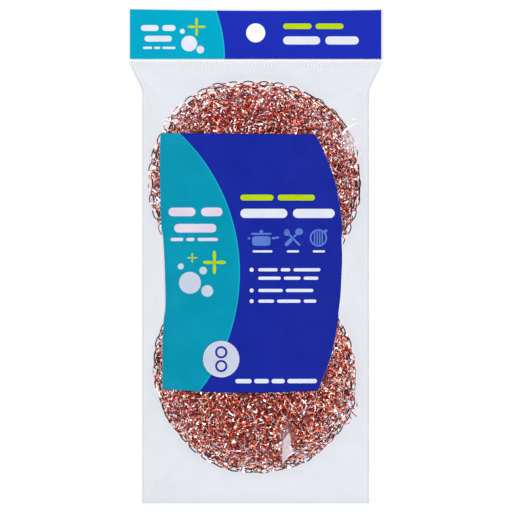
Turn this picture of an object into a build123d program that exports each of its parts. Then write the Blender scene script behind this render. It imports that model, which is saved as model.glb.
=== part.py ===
# Hanging pack of two knitted copper wire pot scrubbers in a clear header bag.
# Millimetres. +Z is up, the printed front faces -Y, the origin is the centre of the hang hole.
from build123d import *
import math
import os

os.makedirs("parts", exist_ok=True)

# Scrubbers: the size printed on the pack is 3.25 in across and 1 in thick
upper_diameter = 84.4
lower_diameter = 80.8
scrubber_thickness = 25.4
stitches_round = 42
courses_per_face = 8
stitch_relief = 1.1
loop_height = 2.3
loop_width = 5.6
loop_root = 1.0
wire_width = 0.5
wire_thickness = 0.5
layer_thickness = 3.0
layer_gap = 0.3
upper_centre_drop = 59.5
lower_centre_drop = 133.5
meeting_drop = 97.4
meeting_gap = 0.6

# Gathered centre of each scrubber and the wire that ties it
tie_radius = 0.6
tie_clearance = 0.3
tie_head_radius = 2.2
tie_head_height = 0.7
dimple_radius = 7.0
dimple_depth = 1.9

# Printed header strip
header_width = 100.0
header_offset = 0.4
header_rise = 9.3
header_drop = 10.3
header_leaf = 0.25
hang_hole_radius = 3.75
teeth_across = 77
tooth_depth = 0.6

# Crimped seal, which folds under the header
fold_gap = 0.35
crimp_height = 2.55
crimp_wave = 0.15
crimp_thickness = 0.3

# Clear bag
bag_width = 89.3
bag_drop = 185.3
shoulder_top_drop = 11.7
shoulder_drop = 22.5
film_thickness = 0.2
film_gap = 0.4
weld_width = 1.2
seam_depth = 0.3
waist_depth = 10.8

# Label on the front film
label_gap = 0.05
label_thickness = 0.1
label_top_drop = 39.6
label_bottom_drop = 140.2
label_bottom_sag = 1.3
label_left = 36.7
label_left_bow = 1.6
label_right = 24.0
label_right_bow = 10.2

# Worked out from the sizes above
half_thickness = scrubber_thickness / 2
bag_half = bag_width / 2
header_half = header_width / 2
header_left = header_offset - header_half
header_right = header_offset + header_half
fold_drop = header_drop + tooth_depth + fold_gap
crimp_bottom_drop = fold_drop + crimp_height
seam_bottom_drop = bag_drop - weld_width
rib_pitch = header_width / teeth_across
inner_sides = stitches_round // 2

# Height of the flat round a scrubber's gathered centre, as a share of the half thickness
flat_level_share = 0.99
# Heights of the rings that shape a scrubber's inner layers, as shares of the half thickness
inner_level_shares = (0.06, 0.50, 0.82, 0.97)
# Heights of the sections that shape the film round a scrubber, as shares of its radius
film_level_shares = (0.76, 0.58, 0.30, 0.0)


def middle_plane(centre_drop):
    """Plane of a scrubber's rim, looking out of the bag's front."""
    return Plane(origin=(0, 0, -centre_drop), x_dir=(1, 0, 0), z_dir=(0, -1, 0))


def press_plane(centre_drop, depth):
    """Plane where a scrubber presses against the other one, moved in by a depth."""
    outward = math.copysign(1, centre_drop - meeting_drop)
    height = -meeting_drop - outward * (meeting_gap / 2 + depth)
    return Plane(origin=(0, 0, height), z_dir=(0, 0, -outward))


def ring_corners(radius, height, centre_drop, sides, turn_share=0):
    """Corners of a ring round a scrubber's axis, turned by a share of a side."""
    corners = []
    for side in range(sides):
        angle = 2 * math.pi * (side + turn_share) / sides
        corners.append((radius * math.cos(angle), height, radius * math.sin(angle) - centre_drop))
    return corners


def layer_form(radius, centre_drop, depth):
    """Flattened ball of flat facets at a depth inside a scrubber, cut flat at the other scrubber."""
    corners = []
    for level in [-share for share in inner_level_shares] + list(inner_level_shares):
        ring_radius = (radius - depth) * math.sqrt(1 - level ** 2)
        corners += ring_corners(ring_radius, level * (half_thickness - depth), centre_drop, inner_sides)
    with BuildPart() as form:
        ConvexPolyhedron(corners)
        split(bisect_by=press_plane(centre_drop, depth), keep=Keep.TOP)
    return form.part


def knitted_form(radius, centre_drop):
    """Flattened ball whose facets rise to every course of stitches and sink between two courses."""
    flat_angle = math.degrees(math.asin(flat_level_share))
    with BuildLine() as face_line:
        EllipticalCenterArc((0, 0), radius, half_thickness, 0, arc_size=flat_angle)
    last_step = 2 * courses_per_face
    rings = []
    for step in range(-last_step, last_step + 1):
        between = step % 2
        place = face_line.line @ (abs(step) / last_step)
        along = face_line.line % (abs(step) / last_step)
        ring_radius = place.X - between * stitch_relief * along.Y
        height = math.copysign(place.Y + between * stitch_relief * along.X, step)
        rings.append(ring_corners(ring_radius, height, centre_drop, stitches_round, between / 2))
    facets = [rings[0], rings[-1]]
    for number, pair in enumerate(zip(rings, rings[1:])):
        course, dip = pair if number % 2 == 0 else reversed(pair)
        for stitch in range(stitches_round):
            after = (stitch + 1) % stitches_round
            facets.append((course[stitch], course[after], dip[stitch]))
            facets.append((dip[stitch], course[after], dip[after]))
    with BuildPart() as form:
        add(Solid(Shell([Face(Wire.make_polygon(corners)) for corners in facets])))
        split(bisect_by=press_plane(centre_drop, 0), keep=Keep.TOP)
    return form.part


def film_section(drop, half_width, depth):
    """Half an ellipse that bulges to the front, with a straight margin past the bag's middle plane."""
    with BuildSketch(Plane.XY.offset(-drop)) as section:
        with BuildLine():
            EllipticalCenterArc((0, 0), half_width, depth, 180, arc_size=180)
            Polyline(
                (half_width, 0), (half_width, weld_width), (-half_width, weld_width), (-half_width, 0)
            )
        make_face()
    return section.sketch


def shoulder_half(drop):
    """Half the bag's width at a height on its sloping shoulders."""
    fall_share = (drop - shoulder_top_drop) / (shoulder_drop - shoulder_top_drop)
    return header_half + (bag_half - header_half) * fall_share


def film_depths(skin):
    """Height and depth of each section of the bulge, from the shoulders to the bottom."""
    radius = upper_diameter / 2
    near_share = (upper_centre_drop - shoulder_drop) / radius
    places = [(shoulder_drop, near_share)]
    places += [(upper_centre_drop - share * radius, share) for share in film_level_shares]
    grown_depth = film_gap + skin
    depths = [(drop, half_thickness * math.sqrt(1 - share ** 2) + grown_depth) for drop, share in places]
    depths.append((meeting_drop, waist_depth + skin))
    radius = lower_diameter / 2
    for share in reversed(film_level_shares):
        depth = half_thickness * math.sqrt(1 - share ** 2) + grown_depth
        depths.append((lower_centre_drop + share * radius, depth))
    depths.append((seam_bottom_drop - film_thickness + skin, seam_depth + skin))
    return depths


def pillow(skin):
    """Bulged body of half the bag, grown outwards by skin."""
    pillow_half = bag_half - weld_width - film_thickness + skin
    top_drop = crimp_bottom_drop + film_thickness - skin
    body_depths = film_depths(skin)
    shoulder_depth = body_depths[0][1]
    shoulder_sections = []
    for share in (0, 0.5, 1):
        drop = top_drop + share * (shoulder_drop - top_drop)
        half_width = pillow_half + shoulder_half(drop) - bag_half
        depth = (1 - share) * (seam_depth + skin) + share * shoulder_depth
        shoulder_sections.append(film_section(drop, half_width, depth))
    body_sections = [film_section(drop, pillow_half, depth) for drop, depth in body_depths]
    with BuildPart() as body:
        loft(shoulder_sections)
        loft(body_sections)
    return body.part


# Header leaves: a strip with the hang hole and a pinked lower edge
leaf_points = [(header_left, -header_drop), (header_left, header_rise)]
leaf_points += [(header_right, header_rise), (header_right, -header_drop)]
for tooth in range(teeth_across):
    valley = header_right - (tooth + 1) * rib_pitch
    leaf_points.append((valley + rib_pitch / 2, -header_drop - tooth_depth))
    leaf_points.append((valley, -header_drop))

with BuildPart() as header_front_panel:
    with BuildSketch(Plane.XZ):
        with BuildLine():
            Polyline(leaf_points)
        make_face()
        Circle(hang_hole_radius, mode=Mode.SUBTRACT)
    extrude(amount=header_leaf)
header_front_panel.part.label = "header_front_panel"
export_step(header_front_panel.part, "parts/header_front_panel.step")

with BuildPart() as header_back_panel:
    mirror(header_front_panel.part, about=Plane.XZ)
header_back_panel.part.label = "header_back_panel"
export_step(header_back_panel.part, "parts/header_back_panel.step")

# Outline of the bag under the header: straight sides with sloping shoulders
outline_points = [(-header_half, -fold_drop), (-header_half, -shoulder_top_drop)]
outline_points += [(-bag_half, -shoulder_drop), (-bag_half, -bag_drop)]
outline_points += [(bag_half, -bag_drop), (bag_half, -shoulder_drop)]
outline_points += [(header_half, -shoulder_top_drop), (header_half, -fold_drop)]

# Crimped seal: a corrugated strip, narrowed by the shoulders
half_crimp = crimp_thickness / 2
crimp_points = []
for step in range(2 * teeth_across + 1):
    wave = crimp_wave if step % 2 else -crimp_wave
    crimp_points.append((-header_half + step * rib_pitch / 2, wave - half_crimp))
crimp_points += [(x, y + crimp_thickness) for x, y in reversed(crimp_points)]

with BuildPart() as crimp_seal:
    with BuildSketch(Plane.XY.offset(-fold_drop)):
        with BuildLine():
            Polyline(crimp_points, close=True)
        make_face()
    extrude(amount=-crimp_height)
    with BuildSketch(Plane.XZ):
        with BuildLine():
            Polyline(outline_points, close=True)
        make_face()
    extrude(amount=crimp_thickness + crimp_wave, both=True, mode=Mode.INTERSECT)
crimp_seal.part.label = "crimp_seal"
export_step(crimp_seal.part, "parts/crimp_seal.step")

# Films: a flat welded margin round a bulged shell
film_outside = pillow(film_thickness)
film_inside = pillow(0)

with BuildPart() as front_film:
    with BuildSketch(Plane.XZ):
        with BuildLine():
            Polyline(outline_points, close=True)
        make_face()
    extrude(amount=film_thickness)
    split(bisect_by=Plane.XY.offset(-crimp_bottom_drop), keep=Keep.BOTTOM)
    add(film_outside)
    add(film_inside, mode=Mode.SUBTRACT)
    split(bisect_by=Plane.XZ, keep=Keep.TOP)
front_film.part.label = "front_film"
export_step(front_film.part, "parts/front_film.step")

with BuildPart() as back_film:
    mirror(front_film.part, about=Plane.XZ)
back_film.part.label = "back_film"
export_step(back_film.part, "parts/back_film.step")

# Label: a patch that follows the bulge of the front film
label_inside = pillow(film_thickness + label_gap)
label_outside = pillow(film_thickness + label_gap + label_thickness)

with BuildPart() as front_label:
    add(label_outside)
    add(label_inside, mode=Mode.SUBTRACT)
    with BuildSketch(Plane.XZ):
        with BuildLine():
            middle_drop = (label_top_drop + label_bottom_drop) / 2
            Line((-label_left, -label_top_drop), (label_right, -label_top_drop))
            ThreePointArc(
                (label_right, -label_top_drop),
                (label_right + label_right_bow, -middle_drop),
                (label_right, -label_bottom_drop),
            )
            ThreePointArc(
                (label_right, -label_bottom_drop),
                ((label_right - label_left) / 2, -label_bottom_drop - label_bottom_sag),
                (-label_left, -label_bottom_drop),
            )
            ThreePointArc(
                (-label_left, -label_bottom_drop),
                (-label_left + label_left_bow, -middle_drop),
                (-label_left, -label_top_drop),
            )
        make_face()
    extrude(amount=scrubber_thickness, mode=Mode.INTERSECT)
front_label.part.label = "front_label"
export_step(front_label.part, "parts/front_label.step")

# Scrubbers: layers of one knitted tube turned in on itself, pressed flat where the two meet
bore_radius = tie_radius + tie_clearance
floor_height = flat_level_share * half_thickness - dimple_depth
loop_radius = (loop_width ** 2 / 4 + loop_height ** 2) / (2 * loop_height)
fold_depth = layer_thickness + layer_gap
core_depth = 2 * fold_depth

for place, diameter, centre_drop in (
    ("upper", upper_diameter, upper_centre_drop),
    ("lower", lower_diameter, lower_centre_drop),
):
    middle = middle_plane(centre_drop)
    rim_radius = diameter / 2
    sleeve_radius = rim_radius - loop_height
    sleeve_form = knitted_form(sleeve_radius, centre_drop)
    sleeve_hollow = layer_form(sleeve_radius, centre_drop, layer_thickness)
    fold_form = layer_form(sleeve_radius, centre_drop, fold_depth)
    fold_hollow = layer_form(sleeve_radius, centre_drop, fold_depth + layer_thickness)
    core_form = layer_form(sleeve_radius, centre_drop, core_depth)

    # Sleeve with the row of open loops that stands round its rim
    with BuildPart() as outer_sleeve:
        with BuildSketch(middle.offset(-wire_thickness / 2)):
            with PolarLocations(rim_radius - loop_radius, stitches_round):
                Circle(loop_radius)
            with PolarLocations(rim_radius - loop_radius, stitches_round):
                Circle(loop_radius - wire_width, mode=Mode.SUBTRACT)
            Circle(sleeve_radius - loop_root, mode=Mode.SUBTRACT)
        extrude(amount=wire_thickness)
        split(bisect_by=press_plane(centre_drop, 0), keep=Keep.TOP)
        add(sleeve_form)
        add(sleeve_hollow, mode=Mode.SUBTRACT)
        # Gathered dimples in both faces and the way through for the tie
        for side in (-1, 1):
            with BuildSketch(middle.offset(side * floor_height)):
                Circle(tie_head_radius + tie_clearance)
            with BuildSketch(middle.offset(side * half_thickness)):
                Circle(dimple_radius)
            loft(mode=Mode.SUBTRACT)
        with BuildSketch(middle):
            Circle(bore_radius)
        extrude(amount=half_thickness, both=True, mode=Mode.SUBTRACT)
    outer_sleeve.part.label = f"{place}_outer_sleeve"
    export_step(outer_sleeve.part, f"parts/{place}_outer_sleeve.step")

    with BuildPart() as inner_fold:
        add(fold_form)
        add(fold_hollow, mode=Mode.SUBTRACT)
        with BuildSketch(middle):
            Circle(bore_radius)
        extrude(amount=half_thickness, both=True, mode=Mode.SUBTRACT)
    inner_fold.part.label = f"{place}_inner_fold"
    export_step(inner_fold.part, f"parts/{place}_inner_fold.step")

    with BuildPart() as core_roll:
        add(core_form)
        with BuildSketch(middle):
            Circle(bore_radius)
        extrude(amount=half_thickness, both=True, mode=Mode.SUBTRACT)
    core_roll.part.label = f"{place}_core_roll"
    export_step(core_roll.part, f"parts/{place}_core_roll.step")

    # Tie: a wire through the middle with a flattened twist in each dimple
    with BuildPart() as tie_wire:
        with BuildSketch(middle):
            Circle(tie_radius)
        extrude(amount=floor_height, both=True)
        for side in (-1, 1):
            with BuildSketch(middle.offset(side * floor_height)):
                Circle(tie_head_radius)
            extrude(amount=side * tie_head_height)
    tie_wire.part.label = f"{place}_tie_wire"
    export_step(tie_wire.part, f"parts/{place}_tie_wire.step")
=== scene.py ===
import math

import bpy
import numpy as np
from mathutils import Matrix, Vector


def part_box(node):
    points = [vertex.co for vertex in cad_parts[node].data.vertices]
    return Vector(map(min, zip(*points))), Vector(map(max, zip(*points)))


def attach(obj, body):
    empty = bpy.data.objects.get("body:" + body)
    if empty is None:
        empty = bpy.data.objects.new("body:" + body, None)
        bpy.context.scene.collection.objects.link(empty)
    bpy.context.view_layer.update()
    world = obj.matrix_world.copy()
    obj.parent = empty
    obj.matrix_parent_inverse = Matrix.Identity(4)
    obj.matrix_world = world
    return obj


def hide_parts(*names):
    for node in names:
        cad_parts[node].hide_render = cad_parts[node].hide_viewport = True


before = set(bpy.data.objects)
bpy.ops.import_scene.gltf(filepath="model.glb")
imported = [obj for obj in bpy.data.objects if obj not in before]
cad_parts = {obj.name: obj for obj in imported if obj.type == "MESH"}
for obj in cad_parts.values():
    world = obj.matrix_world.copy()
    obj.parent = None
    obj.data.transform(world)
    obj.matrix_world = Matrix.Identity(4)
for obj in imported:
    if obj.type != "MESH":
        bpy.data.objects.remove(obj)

# Hanging pack: two knitted copper scrubbers in a clear bag under a printed header.
# Lengths below are millimetres in the frame's own axes; meshes are scaled to metres when made.
scene = bpy.context.scene
mm = 0.001
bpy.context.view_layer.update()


def boxOf(node):
    low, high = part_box(node)
    return np.array(low) / mm, np.array(high) / mm


headerLow, headerHigh = boxOf("header_front_panel")
crimpHigh = boxOf("crimp_seal")[1]
filmLow, filmHigh = boxOf("front_film")
print("frame loaded with", len(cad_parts), "nodes")


# Small helpers for colours, noise and meshes
def tint(red, green, blue):
    steps = np.array([red, green, blue]) / 255
    linear = np.where(steps <= 0.04045, steps / 12.92, ((steps + 0.055) / 1.055) ** 2.4)
    return (*linear.tolist(), 1.0)


def makeWaves(random, length, count=18):
    # sum of plane waves in random directions, about -1 to 1 high and length millimetres long
    ways = random.normal(size=(count, 3))
    ways *= (2 * math.pi / length) / np.linalg.norm(ways, axis=1, keepdims=True)
    ways *= random.uniform(0.6, 1.5, (count, 1))
    starts = random.uniform(0, 2 * math.pi, count)
    return lambda points: np.sin(points @ ways.T + starts).sum(-1) / math.sqrt(count)


def makeMesh(name, points, faces, finishes, faceFinish=None, smooth=True, marks=None):
    mesh = bpy.data.meshes.new(name)
    points = np.ascontiguousarray(points, dtype=np.float32).reshape(-1, 3) * mm
    faces = np.ascontiguousarray(faces, dtype=np.int32)
    mesh.vertices.add(len(points))
    mesh.vertices.foreach_set("co", points.ravel())
    mesh.loops.add(faces.size)
    mesh.loops.foreach_set("vertex_index", faces.ravel())
    mesh.polygons.add(len(faces))
    mesh.polygons.foreach_set("loop_start", np.arange(len(faces), dtype=np.int32) * faces.shape[1])
    for finish in finishes:
        mesh.materials.append(finish)
    if faceFinish is not None:
        mesh.polygons.foreach_set("material_index", np.asarray(faceFinish, dtype=np.int32))
    mesh.polygons.foreach_set("use_smooth", np.full(len(faces), smooth))
    mesh.update(calc_edges=True)
    for markName, values in (marks or {}).items():
        mark = mesh.attributes.new(markName, "FLOAT", "POINT")
        mark.data.foreach_set("value", np.asarray(values, dtype=np.float32).ravel())
    return mesh


def addObject(name, data):
    thing = bpy.data.objects.new(name, data)
    scene.collection.objects.link(thing)
    return thing


def addPiece(mesh, body, slotName, *replaced):
    piece = addObject(mesh.name, mesh)
    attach(piece, body)
    if replaced:
        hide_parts(*replaced)
    return piece


def gridFaces(rows, columns, wrapColumns=False, wrapRows=False):
    across = np.arange(columns if wrapColumns else columns - 1)
    down = np.arange(rows if wrapRows else rows - 1)
    down, across = np.meshgrid(down, across, indexing="ij")
    down, across = down.ravel(), across.ravel()
    nextDown, nextAcross = (down + 1) % rows, (across + 1) % columns
    return np.stack([
        down * columns + across,
        down * columns + nextAcross,
        nextDown * columns + nextAcross,
        nextDown * columns + across,
    ], axis=1)


def joinGrids(grids):
    # points and faces of several grids as those of one mesh
    points, faces, first = [], [], 0
    for gridPoints, quads in grids:
        points.append(gridPoints)
        faces.append(quads + first)
        first += len(gridPoints)
    return np.concatenate(points), np.concatenate(faces)


# Finishes: short calls for the nodes of a material or of the world
class NodeWork:
    def __init__(self, owner, outputKind):
        owner.use_nodes = True
        self.owner, self.tree = owner, owner.node_tree
        self.tree.nodes.clear()
        self.output = self.add(outputKind)

    def add(self, kind, inputs=None, **settings):
        node = self.tree.nodes.new("ShaderNode" + kind)
        for setting, value in settings.items():
            setattr(node, setting, value)
        self.feed(node, inputs or {})
        return node

    def feed(self, node, inputs):
        # an input takes another node's output or a plain value
        for socket, value in inputs.items():
            if isinstance(value, bpy.types.NodeSocket):
                self.tree.links.new(value, node.inputs[socket])
            else:
                node.inputs[socket].default_value = value

    def noise(self, perMetre, detail, stretch=(1, 1, 1)):
        mapping = self.add("Mapping", {"Vector": self.place, "Scale": stretch})
        inputs = {"Vector": mapping.outputs["Vector"], "Scale": perMetre, "Detail": detail}
        return self.add("TexNoise", inputs).outputs["Fac"]

    def ramp(self, value, fromLow, fromHigh, toLow, toHigh):
        ends = {"From Min": fromLow, "From Max": fromHigh, "To Min": toLow, "To Max": toHigh}
        return self.add("MapRange", {"Value": value, **ends}).outputs["Result"]

    def uneven(self, perMetre, detail, low, high):
        # drifts between two values from place to place
        return self.ramp(self.noise(perMetre, detail), 0.3, 0.7, low, high)

    def mix(self, share, first, second):
        return self.add("Mix", {0: share, 6: first, 7: second}, data_type="RGBA").outputs[2]

    def math(self, kind, first, second=0):
        return self.add("Math", {0: first, 1: second}, operation=kind).outputs["Value"]

    def vector(self, kind, first, second=(0, 0, 0)):
        node = self.add("VectorMath", {0: first, 1: second}, operation=kind)
        return node.outputs["Value" if kind in ("DISTANCE", "LENGTH") else "Vector"]

    def axis(self, name):
        return self.add("SeparateXYZ", {0: self.place}).outputs[name]

    def mark(self, name):
        return self.add("Attribute", attribute_name=name).outputs["Fac"]

    def bump(self, height, strength, distance):
        inputs = {"Height": height, "Strength": strength, "Distance": distance}
        return self.add("Bump", inputs).outputs["Normal"]

    def surface(self, share, first, second):
        # the first surface where the share is 0, the second where it is 1
        mix = self.add("MixShader", {0: share, 1: first.outputs[0], 2: second.outputs[0]})
        self.feed(self.output, {"Surface": mix.outputs["Shader"]})

    def seen(self):
        # 1 for what the camera sees straight, mirrored or through something clear
        ray = self.add("LightPath").outputs
        seen = self.math("MAXIMUM", ray["Is Camera Ray"], ray["Is Glossy Ray"])
        return self.math("MAXIMUM", seen, ray["Is Transmission Ray"])


def newFinish(name):
    finish = NodeWork(bpy.data.materials.new(name), "OutputMaterial")
    finish.shader = finish.add("BsdfPrincipled")
    finish.feed(finish.output, {"Surface": finish.shader.outputs["BSDF"]})
    finish.place = finish.add("TexCoord").outputs["Object"]
    return finish


def shaded(colour, times, more=0.0):
    return tuple(min(channel * times + more, 1) for channel in colour[:3]) + (1.0,)


# Print finishes: ink, slightly uneven in colour and shine
printLook = {"shine": 0.03, "spread": 0.05, "roughness": 0.45, "reverseRoughness": 0.5}


def inkFinish(name, colour, roughness=printLook["roughness"]):
    finish, spread = newFinish(name), printLook["spread"]
    tones = shaded(colour, 1 - spread), shaded(colour, 1 + spread, 0.002)
    finish.feed(finish.shader, {
        "Base Color": finish.mix(finish.uneven(90, 2, 0, 1), *tones),
        "Roughness": finish.uneven(900, 2, roughness * 0.85, roughness * 1.15),
        "Specular IOR Level": printLook["shine"],
        "Normal": finish.bump(finish.noise(220, 2), 0.25, 0.0002),
    })
    return finish.owner


# Ribs of the crimp: width of one, and how much of the view the film covers in a groove and on a rib; these
# stripes are painted light and shade of the ribs
crimpRibs = {"pitch": 1.2987, "low": 0.06, "high": 0.15}
headerPrint = {
    "teal": tint(0, 170, 203),
    "blue": tint(28, 48, 182),
    "line": tint(40, 190, 205),
    "margin": tint(236, 239, 246),
    "blotch": (0.0, 0.0, 0.02, 1.0),
    "edgeX": 49.5,  # the print stops here and leaves a pale strip
    "soft": 0.08,  # half width over which one field passes into the next
    "topStrip": (0.60, 8.0, 54.0),  # pale strip along the top: greatest height, where, half its length
    "waveCentre": (-68.5, 0.0, -10.3),
    "waveRadius": 56.35,
    "lineWidth": 0.45,
}


def headerFinish(name):
    # teal and blue fields parted by a large arc, pale strips at one end and along the top
    finish, values = newFinish(name), headerPrint
    soft, radius = values["soft"] * mm, values["waveRadius"] * mm

    def past(value, edge):
        return finish.ramp(value, edge - soft, edge + soft, 0, 1)

    far = finish.vector("DISTANCE", finish.place, np.array(values["waveCentre"]) * mm)
    field = finish.mix(past(far, radius - values["lineWidth"] * mm), values["teal"], values["line"])
    field = finish.mix(past(far, radius), field, values["blue"])
    across = finish.axis("X")
    field = finish.mix(past(across, values["edgeX"] * mm), field, values["margin"])
    tallest, middle, half = (number * mm for number in values["topStrip"])
    share = finish.math("DIVIDE", finish.math("SUBTRACT", across, middle), half)
    strip = finish.math("MULTIPLY", finish.math("MULTIPLY", share, share), tallest)
    line = finish.math("ADD", strip, headerHigh[2] * mm - tallest)
    over = finish.math("SUBTRACT", finish.axis("Z"), line)
    field = finish.mix(past(over, 0), field, values["margin"])
    finish.feed(finish.shader, {
        "Base Color": finish.mix(finish.uneven(60, 2, 0, 0.06), field, values["blotch"]),
        "Roughness": finish.uneven(700, 2, 0.38, 0.5),
        "Specular IOR Level": printLook["shine"],
        "Normal": finish.bump(finish.noise(120, 2, (0.4, 1, 1.5)), 0.3, 0.0003),
    })
    return finish.owner


inkColours = {
    "pale": (226, 232, 244),
    "lilac": (226, 214, 232),
    "lime": (186, 214, 10),
    "sky": (92, 126, 208),
    "navy": (30, 44, 158),
    "badge": (201, 209, 226),
    "glint": (252, 252, 254),
}
labelColours = {
    # from the left edge to the right one
    "edge": (238, 226, 236),
    "teal": (0, 149, 178),
    "teal line": (24, 178, 192),
    "blue": (22, 39, 156),
    "right edge": (250, 249, 251),
}
inks = {name: inkFinish(f"{name} print", tint(*colour)) for name, colour in inkColours.items()}
labelInks = [inkFinish(f"label {name}", tint(*colour)) for name, colour in labelColours.items()]
labelInks.append(inkFinish("label reverse", tint(206, 210, 222), printLook["reverseRoughness"]))


# Film finish: clear, hazy where the film is creased or welded, glossy where it turns away; creases and glare
# patches carry a painted highlight in milky white, partly the whitening of creased film
filmLook = {
    "haze": tint(176, 184, 206),
    # painted highlight: milky white of creased film
    "creaseSheen": tint(255, 243, 248),  # creased film
    "clear": (0.912, 0.917, 0.946, 1.0),  # what each film lets through
    "roughness": 0.12,
    "grazing": 0.10,  # extra cover where the film is seen edge on
    "mostCover": 0.95,
}


def filmFinish(name, ribs=None):
    # with ribs it is the crimped film, otherwise marks on the mesh say how hazy the film is and how much of
    # that haze is milky white, a painted highlight
    finish, values = newFinish(name), filmLook
    colour = finish.mix(finish.uneven(70, 3, 0, 1), values["haze"], shaded(values["haze"], 1.12))
    if ribs:
        # painted light and shade: stripes of haze along the crimp's ribs
        turn = finish.math("MULTIPLY", finish.axis("X"), 2 * math.pi / (ribs["pitch"] * mm))
        cover = finish.ramp(finish.math("SINE", turn), -0.5, 0.6, ribs["low"], ribs["high"])
    else:
        # painted highlight: milky white where the marks say
        colour = finish.mix(finish.mark("filmSheen"), colour, values["creaseSheen"])
        cover = finish.mark("filmHaze")
    finish.feed(finish.shader, {
        "Base Color": colour,
        "Roughness": finish.uneven(400, 2, values["roughness"] * 0.8, values["roughness"] * 1.3),
        "Specular IOR Level": 1.0,
        "Coat Weight": 1.0,
        "Coat Roughness": 0.05,
        "Normal": finish.bump(finish.noise(160, 3), 0.05 if ribs else 0.35, 0.0004),
    })
    facing = finish.add("LayerWeight", {"Blend": 0.12}).outputs["Fresnel"]
    cover = finish.math("ADD", cover, finish.math("MULTIPLY", facing, values["grazing"]))
    clear = finish.add("BsdfTransparent", {"Color": values["clear"]})
    finish.surface(finish.math("MINIMUM", cover, values["mostCover"]), clear, finish.shader)
    return finish.owner


# Copper finish: bright flattened wire, darker and greyer in places; its near-white flats are painted
# highlights, its dark specks painted dark reflections
copperLook = {
    "bright": (0.99, 0.240, 0.108, 1.0),
    "deep": (0.57, 0.055, 0.027, 1.0),
    "dark": (0.20, 0.009, 0.005, 1.0),
    # painted highlight: flats that shine almost white, standing in for glints
    "paintedGlint": (0.97, 1.0, 1.0, 1.0),  # flats that shine almost white
    "patch": 300,  # patches and specks for each metre
    "speck": 950,
    # painted dark reflection: dark specks stand in for dark surroundings mirrored in the wire
    "darkBelow": 0.44,  # level of the specks' noise under which the wire is dark
    "darkFade": 0.04,
    "glintAbove": 0.547,
    "glintFade": 0.03,
    "rough": (0.08, 0.20),
    # painted shade: deeper colour towards the gathered middle
    "middleShade": 0.42,  # deeper colour towards the gathered middle
}
# painted shade: the inner layers darker and redder as the depth of the knit, their near-white flats tinted
# copper
innerLook = dict(copperLook, bright=(0.84, 0.15, 0.075, 1.0), deep=(0.48, 0.038, 0.020, 1.0),
                 paintedGlint=(1.0, 0.42, 0.30, 1.0), glintAbove=0.62)
rimLook = dict(copperLook, bright=(1.0, 0.34, 0.19, 1.0), deep=(0.64, 0.090, 0.045, 1.0),
               dark=(0.14, 0.012, 0.010, 1.0), speck=620, glintAbove=0.56)
shadeLook = dict(copperLook, bright=(0.11, 0.026, 0.016, 1.0), deep=(0.030, 0.009, 0.007, 1.0),
                 dark=(0.010, 0.005, 0.004, 1.0), darkBelow=0.5, glintAbove=0.72, rough=(0.3, 0.45))


def copperFinish(name, values, middle=None, reach=None):
    # middle is where the knit is gathered, reach the radii that the deeper colour, a painted shade, fades
    # over
    finish = newFinish(name)
    broad = finish.ramp(finish.noise(values["patch"], 2), 0.38, 0.62, 0, 1)
    colour = finish.mix(broad, values["deep"], values["bright"])
    if middle:
        flat = finish.vector("MULTIPLY", finish.place, (1, 0, 1))
        away = finish.vector("DISTANCE", flat, (middle[0] * mm, 0, middle[1] * mm))
        # painted shade, deepest at the gathered middle
        near = finish.ramp(away, reach[0] * mm, reach[1] * mm, values["middleShade"], 0)
        colour = finish.mix(near, colour, values["deep"])
    specks = finish.noise(values["speck"], 0.5)
    dark, paintedGlint = values["darkBelow"], values["glintAbove"]
    # painted dark reflection: wire dark where the specks' noise is low
    colour = finish.mix(finish.ramp(specks, dark - values["darkFade"], dark, 1, 0), colour, values["dark"])
    # painted highlight: near-white flats where the specks' noise is high
    colour = finish.mix(finish.ramp(specks, paintedGlint, paintedGlint + values["glintFade"], 0, 1), colour, values["paintedGlint"])
    finish.feed(finish.shader, {
        "Base Color": colour,
        "Roughness": finish.uneven(900, 1, *values["rough"]),
        "Metallic": 1.0,
    })
    return finish.owner


# Bag: the bulge of the film, as the frame has it
bag = {
    "shoulderTop": -11.7,
    "shoulder": -22.5,
    "bodyHalf": 44.65,
    "weld": 1.2,
    "seamDepth": 0.5,
    "waist": -97.4,
    "waistDepth": 11.0,
    "skin": 0.6,  # film gap and film outside a scrubber's half thickness
    "padThickness": 12.7,
    "padPlaces": {"upper": (-59.5, 42.2), "lower": (-133.5, 40.4)},  # centre height and rim radius
    "upperReach": 12,  # the film lies on the upper scrubber down to this far below its middle
    "lowerReach": 11,  # and on the lower one from this far above its middle
    "lowerShare": 0.8,  # to this share of its radius below
    "cornerBlur": 1.2,
    "bulgeBlur": 2.4,
    "edgePull": 26,
}
bagTop, bagBottom = filmHigh[2], filmLow[2]
bagTopHalf = crimpHigh[0]


def smoothProfile(heights, values, blur):
    # evenly spaced table of the values, softened over blur
    step = 0.25
    table = np.arange(bagBottom - 10, bagTop + 10, step)
    order = np.argsort(heights)
    raw = np.interp(table, np.array(heights)[order], np.array(values)[order])
    reach = int(4 * blur / step)
    weights = np.exp(-0.5 * (np.arange(-reach, reach + 1) * step / blur) ** 2)
    padded = np.pad(raw, reach, mode="edge")
    soft = np.convolve(padded, weights / weights.sum(), mode="valid")
    return lambda height: np.interp(height, table, soft)


def bulgeOfPad(centre, radius, height):
    share = np.clip(1 - ((height - centre) / radius) ** 2, 0, None)
    return bag["padThickness"] * np.sqrt(share) + bag["skin"]


profileHeights = [bagTop, bagBottom + bag["weld"], bag["waist"]]
profileDepths = [bag["seamDepth"], bag["seamDepth"], bag["waistDepth"]]
upperPlace, lowerPlace = bag["padPlaces"].values()
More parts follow.
